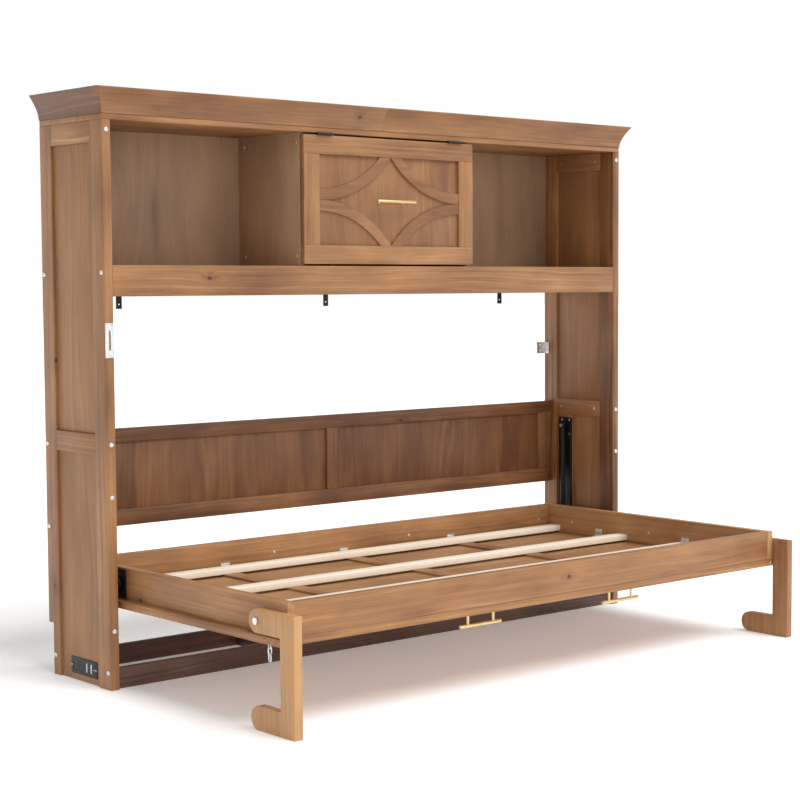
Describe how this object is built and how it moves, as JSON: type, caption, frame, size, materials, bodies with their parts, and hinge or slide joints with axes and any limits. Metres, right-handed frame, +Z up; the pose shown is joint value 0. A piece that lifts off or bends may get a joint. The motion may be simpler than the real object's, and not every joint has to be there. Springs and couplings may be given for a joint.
{
  "type": "wall bed",
  "caption": "Horizontal wall bed with a hutch above: the bed folds down sideways out of the cabinet and stands on swinging legs, and the hutch's door lifts up.",
  "frame": {"origin": "on the floor, at the middle of the footprint of the open bed and its cabinet", "axes": "+X along the cabinet to the right as seen from the front, +Y from the bed towards the wall, +Z up"},
  "size_m": [2.184, 1.196, 1.736],
  "materials": {
    "walnut": "walnut stain on pine, satin",
    "espresso": "dark stain, satin",
    "pine": "bare, planed",
    "brass": "brushed",
    "black_steel": "black, satin",
    "zinc": "zinc plated",
    "plastic": "black, moulded",
    "socket": "black, moulded"
  },
  "bodies": {
    "cabinet": {"left_front_stile": "walnut", "left_rear_stile": "walnut", "left_side_rails": "walnut", "left_side_panels": "walnut", "right_front_stile": "walnut", "right_rear_stile": "walnut", "right_side_rails": "walnut", "right_side_panels": "walnut", "top_board": "walnut", "crown_front_left": "walnut", "crown_front_right": "walnut", "crown_returns": "walnut", "hutch_shelf": "walnut", "hutch_front_rail": "walnut", "hutch_rear_rail": "walnut", "hutch_back_panel": "walnut", "left_divider": "walnut", "right_divider": "walnut", "headboard_rails": "walnut", "headboard_stiles": "walnut", "headboard_panels": "walnut", "base_front_rail": "espresso", "base_rear_rail": "espresso", "base_cross_rails": "espresso", "hardware_battens": "walnut", "pivot_plates": "black_steel", "spring_channels": "black_steel", "wall_brackets": "zinc", "shelf_wall_tabs": "black_steel", "latch_plate": "zinc", "outlet_plate": "plastic", "outlet_sockets": "socket", "cabinet_bolts": "zinc", "door_hinge_leaves": "brass"},
    "door": {"door_stiles": "walnut", "door_rails": "walnut", "door_panel": "walnut", "door_bands": "walnut", "door_pull": "brass", "door_hinge_flaps": "brass"},
    "bed": {"bed_left_rail": "walnut", "bed_right_rail": "walnut", "bed_front_rail": "walnut", "bed_rear_rail": "walnut", "panel_long_rails": "walnut", "panel_cross_rails": "walnut", "panel_fields": "walnut", "bed_slats": "pine", "panel_pulls": "brass", "bed_plates": "black_steel", "leg_bolts": "zinc", "rail_clips": "zinc", "bed_screws": "zinc", "chain_eye": "zinc"},
    "left_leg": {"left_leg": "walnut"},
    "right_leg": {"right_leg": "walnut"},
    "levers": {"spring_levers": "black_steel"},
    "spring_tubes": {"spring_tubes": "black_steel"},
    "spring_rods": {"spring_rods": "zinc"},
    "leg_chain": {"leg_chain": "zinc"}
  },
  "joints": [
    {"name": "bed_swing", "type": "hinge", "parent": "cabinet", "child": "levers", "pos_m": [0, 0.304, 0.299], "axis": [-1, 0, 0], "range_deg": [0, 82]},
    {"name": "bed_lift", "type": "hinge", "parent": "levers", "child": "bed", "pos_m": [0, 0.304, 0.299], "axis": [-1, 0, 0], "range_deg": [0, 8]},
    {"name": "left_leg_fold", "type": "hinge", "parent": "bed", "child": "left_leg", "pos_m": [0, -0.429, 0.292], "axis": [-1, 0, 0], "range_deg": [0, 180]},
    {"name": "right_leg_fold", "type": "hinge", "parent": "bed", "child": "right_leg", "pos_m": [0, -0.429, 0.292], "axis": [-1, 0, 0], "range_deg": [0, 180]},
    {"name": "spring_swing", "type": "hinge", "parent": "cabinet", "child": "spring_tubes", "pos_m": [0, 0.481, 0.645], "axis": [-1, 0, 0], "range_deg": [0, 16.2]},
    {"name": "spring_stroke", "type": "slide", "parent": "spring_tubes", "child": "spring_rods", "axis": [0, 0, -1], "range_m": [0, 0.198]},
    {"name": "chain_swing", "type": "hinge", "parent": "bed", "child": "leg_chain", "pos_m": [-0.997, -0.461, 0.225], "axis": [-1, 0, 0], "range_deg": [-90.1, 0]},
    {"name": "door_lift", "type": "hinge", "parent": "cabinet", "child": "door", "pos_m": [0, 0.235, 1.643], "axis": [-1, 0, 0], "range_deg": [0, 90]}
  ],
  "couplings": [
    {"joint": "left_leg_fold", "follows": "bed_lift", "ratio": 22.5},
    {"joint": "right_leg_fold", "follows": "bed_lift", "ratio": 22.5},
    {"joint": "spring_swing", "follows": "bed_swing", "ratio": 0.19753},
    {"joint": "spring_stroke", "follows": "bed_swing", "m_per_rad": 0.13812},
    {"joint": "chain_swing", "follows": "bed_swing", "ratio": -1.0976}
  ]
}
